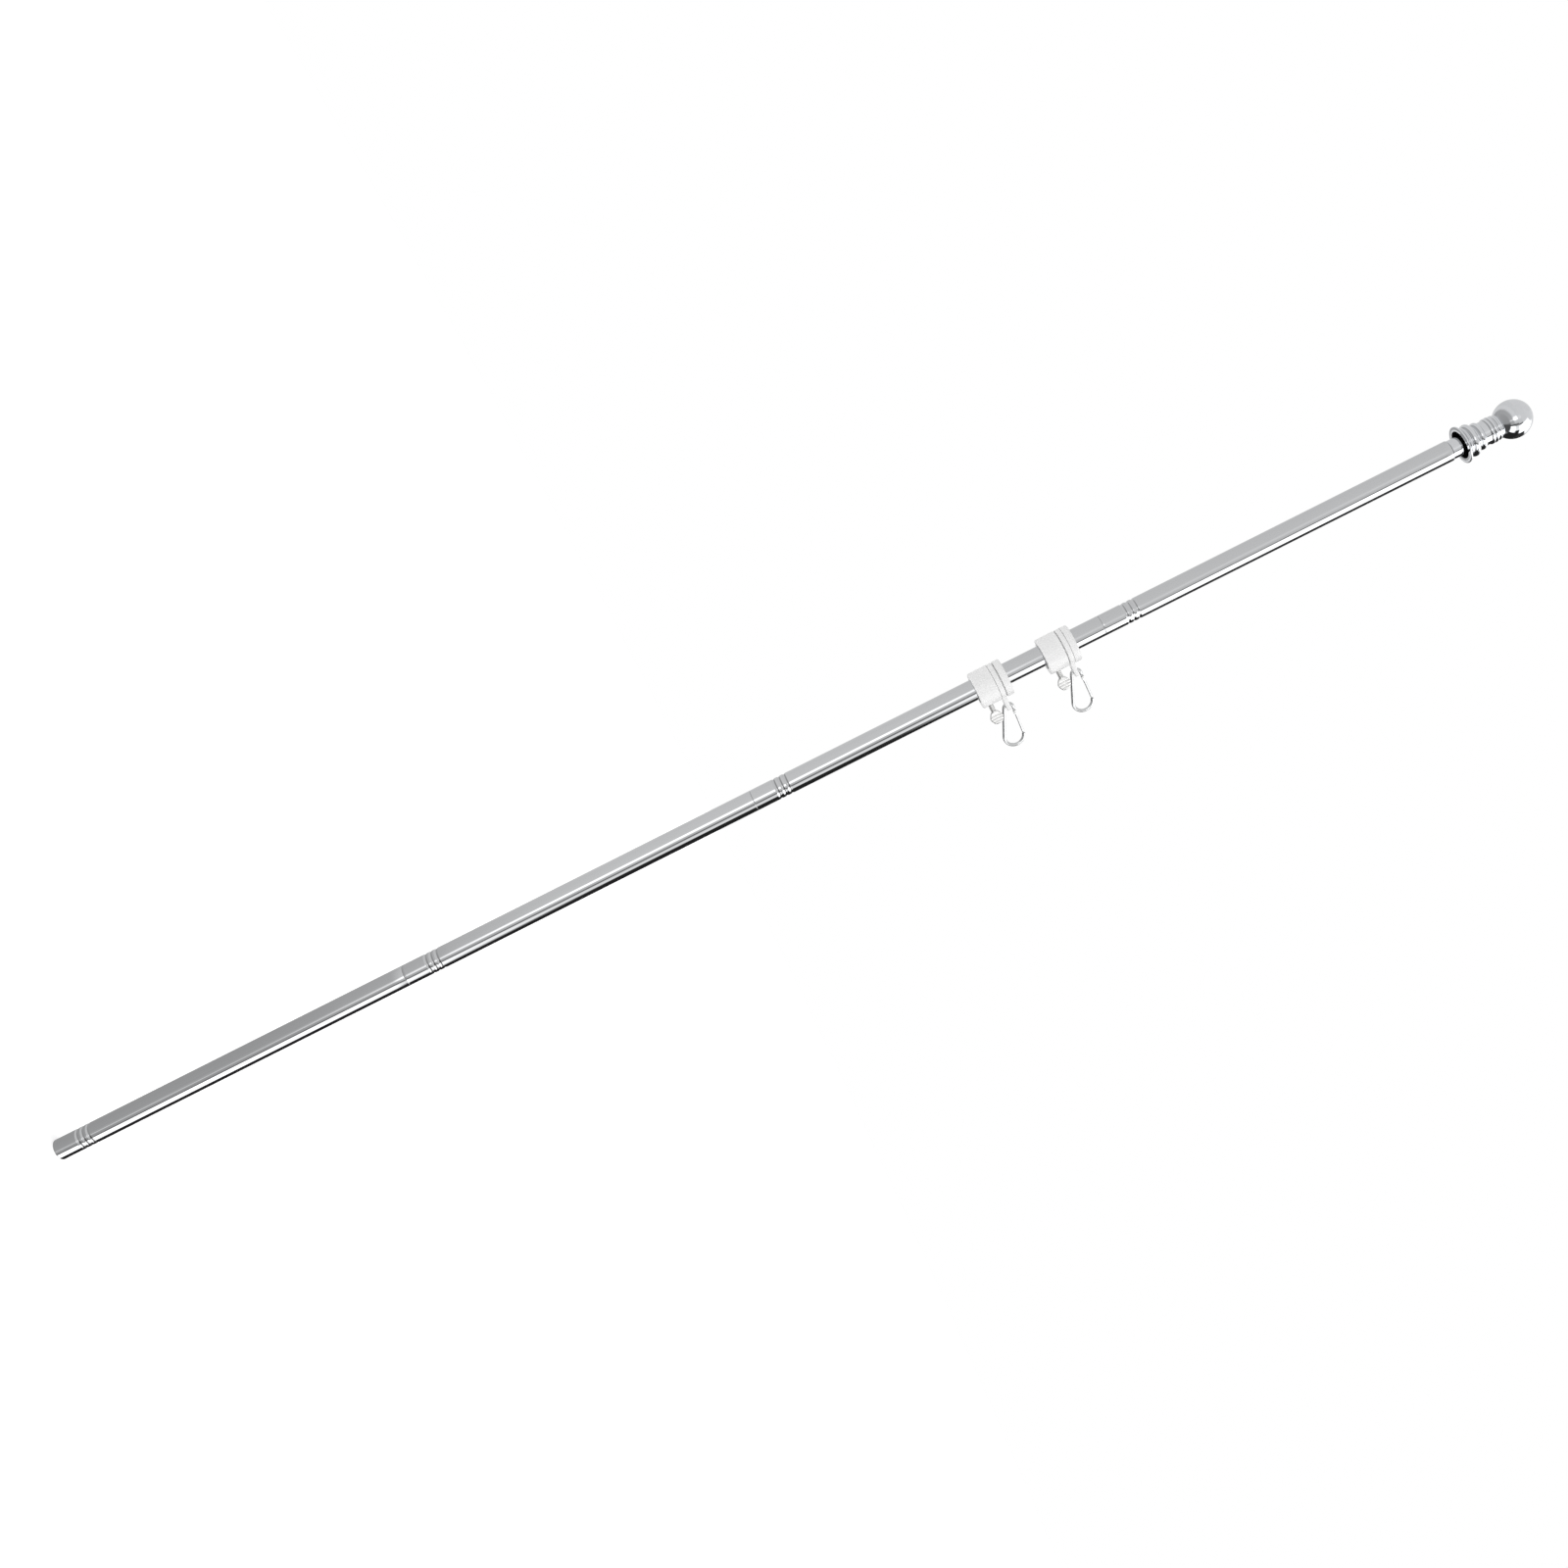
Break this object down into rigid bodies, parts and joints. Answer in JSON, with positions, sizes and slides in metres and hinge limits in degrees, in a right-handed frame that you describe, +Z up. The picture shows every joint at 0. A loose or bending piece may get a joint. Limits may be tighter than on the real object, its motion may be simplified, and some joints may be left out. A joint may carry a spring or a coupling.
{
  "type": "flagpole",
  "caption": "Sectional steel flagpole that screws together, with a ribbed ball finial and clamped rings whose turning bands carry sprung snap hooks.",
  "frame": {"origin": "centre of the butt's flat end face, which stands on a floor or in a socket", "axes": "+Z up the pole to the finial; +X towards the thumb screws; the snap hooks are 25 degrees from them towards +Y"},
  "size_m": [0.0838, 0.0487, 1.524],
  "materials": {
    "steel_tube": "polished",
    "grey_nylon": "moulded",
    "steel_stud": "zinc plated",
    "chrome_finial": "polished plating",
    "white_plastic": "moulded, satin",
    "plated_screw": "nickel plated",
    "steel_wire": "polished wire"
  },
  "bodies": {
    "root": {"pole_section_1": "steel_tube", "pole_section_2": "steel_tube", "pole_section_3": "steel_tube", "pole_section_4": "steel_tube", "butt_plug": "grey_nylon", "socket_2": "grey_nylon", "socket_3": "grey_nylon", "socket_4": "grey_nylon", "stud_1": "steel_stud", "stud_2": "steel_stud", "stud_3": "steel_stud", "stud_4": "steel_stud", "finial_neck": "chrome_finial", "finial_collar": "chrome_finial", "finial_ball": "chrome_finial"},
    "lower_clamp": {"lower_sleeve": "white_plastic", "lower_cap": "white_plastic"},
    "lower_thumb_screw": {"lower_screw": "plated_screw"},
    "lower_swivel": {"lower_band": "white_plastic"},
    "lower_snap_hook": {"lower_hook": "steel_wire", "lower_rivet": "steel_wire"},
    "lower_latch": {"lower_gate": "steel_wire"},
    "upper_clamp": {"upper_sleeve": "white_plastic", "upper_cap": "white_plastic"},
    "upper_thumb_screw": {"upper_screw": "plated_screw"},
    "upper_swivel": {"upper_band": "white_plastic"},
    "upper_snap_hook": {"upper_hook": "steel_wire", "upper_rivet": "steel_wire"},
    "upper_latch": {"upper_gate": "steel_wire"}
  },
  "joints": [
    {"name": "lower_clamp_slide", "type": "slide", "parent": "root", "child": "lower_clamp", "axis": [0, 0, 1], "range_m": [-0.888, 0.016]},
    {"name": "lower_screw_turn", "type": "hinge", "parent": "lower_clamp", "child": "lower_thumb_screw", "pos_m": [0.0259, 0, 0.9552], "axis": [1, 0, 0], "range_deg": [0, 270]},
    {"name": "lower_band_turn", "type": "hinge", "parent": "lower_clamp", "child": "lower_swivel", "pos_m": [0.0019, 0, 0.96975], "axis": [0, 0, 1], "continuous": true},
    {"name": "lower_hook_swing", "type": "hinge", "parent": "lower_swivel", "child": "lower_snap_hook", "pos_m": [0.02954, 0.01289, 0.96975], "axis": [-0.4226, 0.9063, 0], "range_deg": [-87, 68]},
    {"name": "lower_gate_open", "type": "hinge", "parent": "lower_snap_hook", "child": "lower_latch", "pos_m": [0.03467, 0.01528, 0.97405], "axis": [-0.4226, 0.9063, 0], "range_deg": [0, 25], "stiffness_Nm_per_rad": 0.12, "springref_deg": -14.32},
    {"name": "upper_clamp_slide", "type": "slide", "parent": "root", "child": "upper_clamp", "axis": [0, 0, 1], "range_m": [-0.016, 0.394]},
    {"name": "upper_screw_turn", "type": "hinge", "parent": "upper_clamp", "child": "upper_thumb_screw", "pos_m": [0.0259, 0, 1.0252], "axis": [1, 0, 0], "range_deg": [0, 270]},
    {"name": "upper_band_turn", "type": "hinge", "parent": "upper_clamp", "child": "upper_swivel", "pos_m": [0.0019, 0, 1.04055], "axis": [0, 0, 1], "continuous": true},
    {"name": "upper_hook_swing", "type": "hinge", "parent": "upper_swivel", "child": "upper_snap_hook", "pos_m": [0.02954, 0.01289, 1.04055], "axis": [-0.4226, 0.9063, 0], "range_deg": [-84, 71]},
    {"name": "upper_gate_open", "type": "hinge", "parent": "upper_snap_hook", "child": "upper_latch", "pos_m": [0.03446, 0.01518, 1.04514], "axis": [-0.4226, 0.9063, 0], "range_deg": [0, 25], "stiffness_Nm_per_rad": 0.12, "springref_deg": -14.32}
  ]
}
